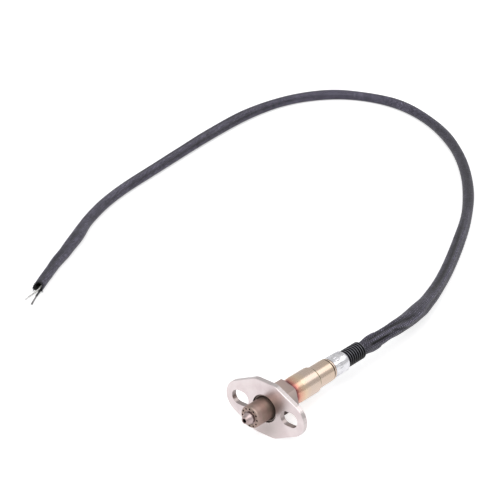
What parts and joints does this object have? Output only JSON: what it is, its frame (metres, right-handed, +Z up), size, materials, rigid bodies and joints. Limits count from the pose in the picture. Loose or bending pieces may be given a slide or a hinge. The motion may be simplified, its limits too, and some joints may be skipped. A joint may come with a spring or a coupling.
{
  "type": "oxygen sensor",
  "caption": "Heated exhaust gas oxygen sensor with a slotted mounting flange, perforated protection tube, ribbed cable boot and a braided lead with bare wire ends.",
  "frame": {"origin": "on the sensor axis, in the flange's front (gasket) face, midway between its two slots", "axes": "+X along the sensor axis out of the gas end, +Y along the line through both slots, +Z up from the flat flange edge it stands on"},
  "size_m": [0.5734, 0.4239, 0.041],
  "materials": {
    "satin_steel": "satin, faintly warm",
    "heat_tinted_steel": "matte brown heat tint",
    "straw_tinted_steel": "polished, straw-gold heat tint",
    "bright_steel": "bright drawn sheet",
    "boot_rubber": "semi-gloss moulded",
    "grommet_rubber": "matte",
    "zirconia": "fired matte ceramic",
    "steatite": "fired matte ceramic",
    "talc": "pressed powder",
    "contact_metal": "plated sheet",
    "white_insulation": "smooth",
    "black_insulation": "smooth",
    "tinned_copper": "tinned strands",
    "black_braid": "braided sleeve"
  },
  "bodies": {
    "root": {"flange": "satin_steel", "sensor_housing": "satin_steel", "outer_protection_tube": "heat_tinted_steel", "inner_protection_tube": "heat_tinted_steel", "zirconia_thimble": "zirconia", "front_gasket": "contact_metal", "talc_packing": "talc", "ceramic_bush": "steatite", "compression_ring": "contact_metal", "heater_rod": "zirconia", "heater_terminal_1": "contact_metal", "heater_terminal_2": "contact_metal", "signal_contact": "contact_metal", "disc_spring": "contact_metal", "contact_holder": "steatite", "protective_sleeve": "straw_tinted_steel", "crimp_sleeve": "bright_steel", "cable_grommet": "grommet_rubber", "ribbed_boot": "boot_rubber", "signal_wire": "black_insulation", "heater_wire_1": "white_insulation", "heater_wire_2": "white_insulation", "braided_lead": "black_braid", "signal_wire_end": "black_insulation", "signal_wire_strands": "tinned_copper", "heater_wire_1_end": "white_insulation", "heater_wire_1_strands": "tinned_copper", "heater_wire_2_end": "white_insulation", "heater_wire_2_strands": "tinned_copper"}
  },
  "joints": []
}
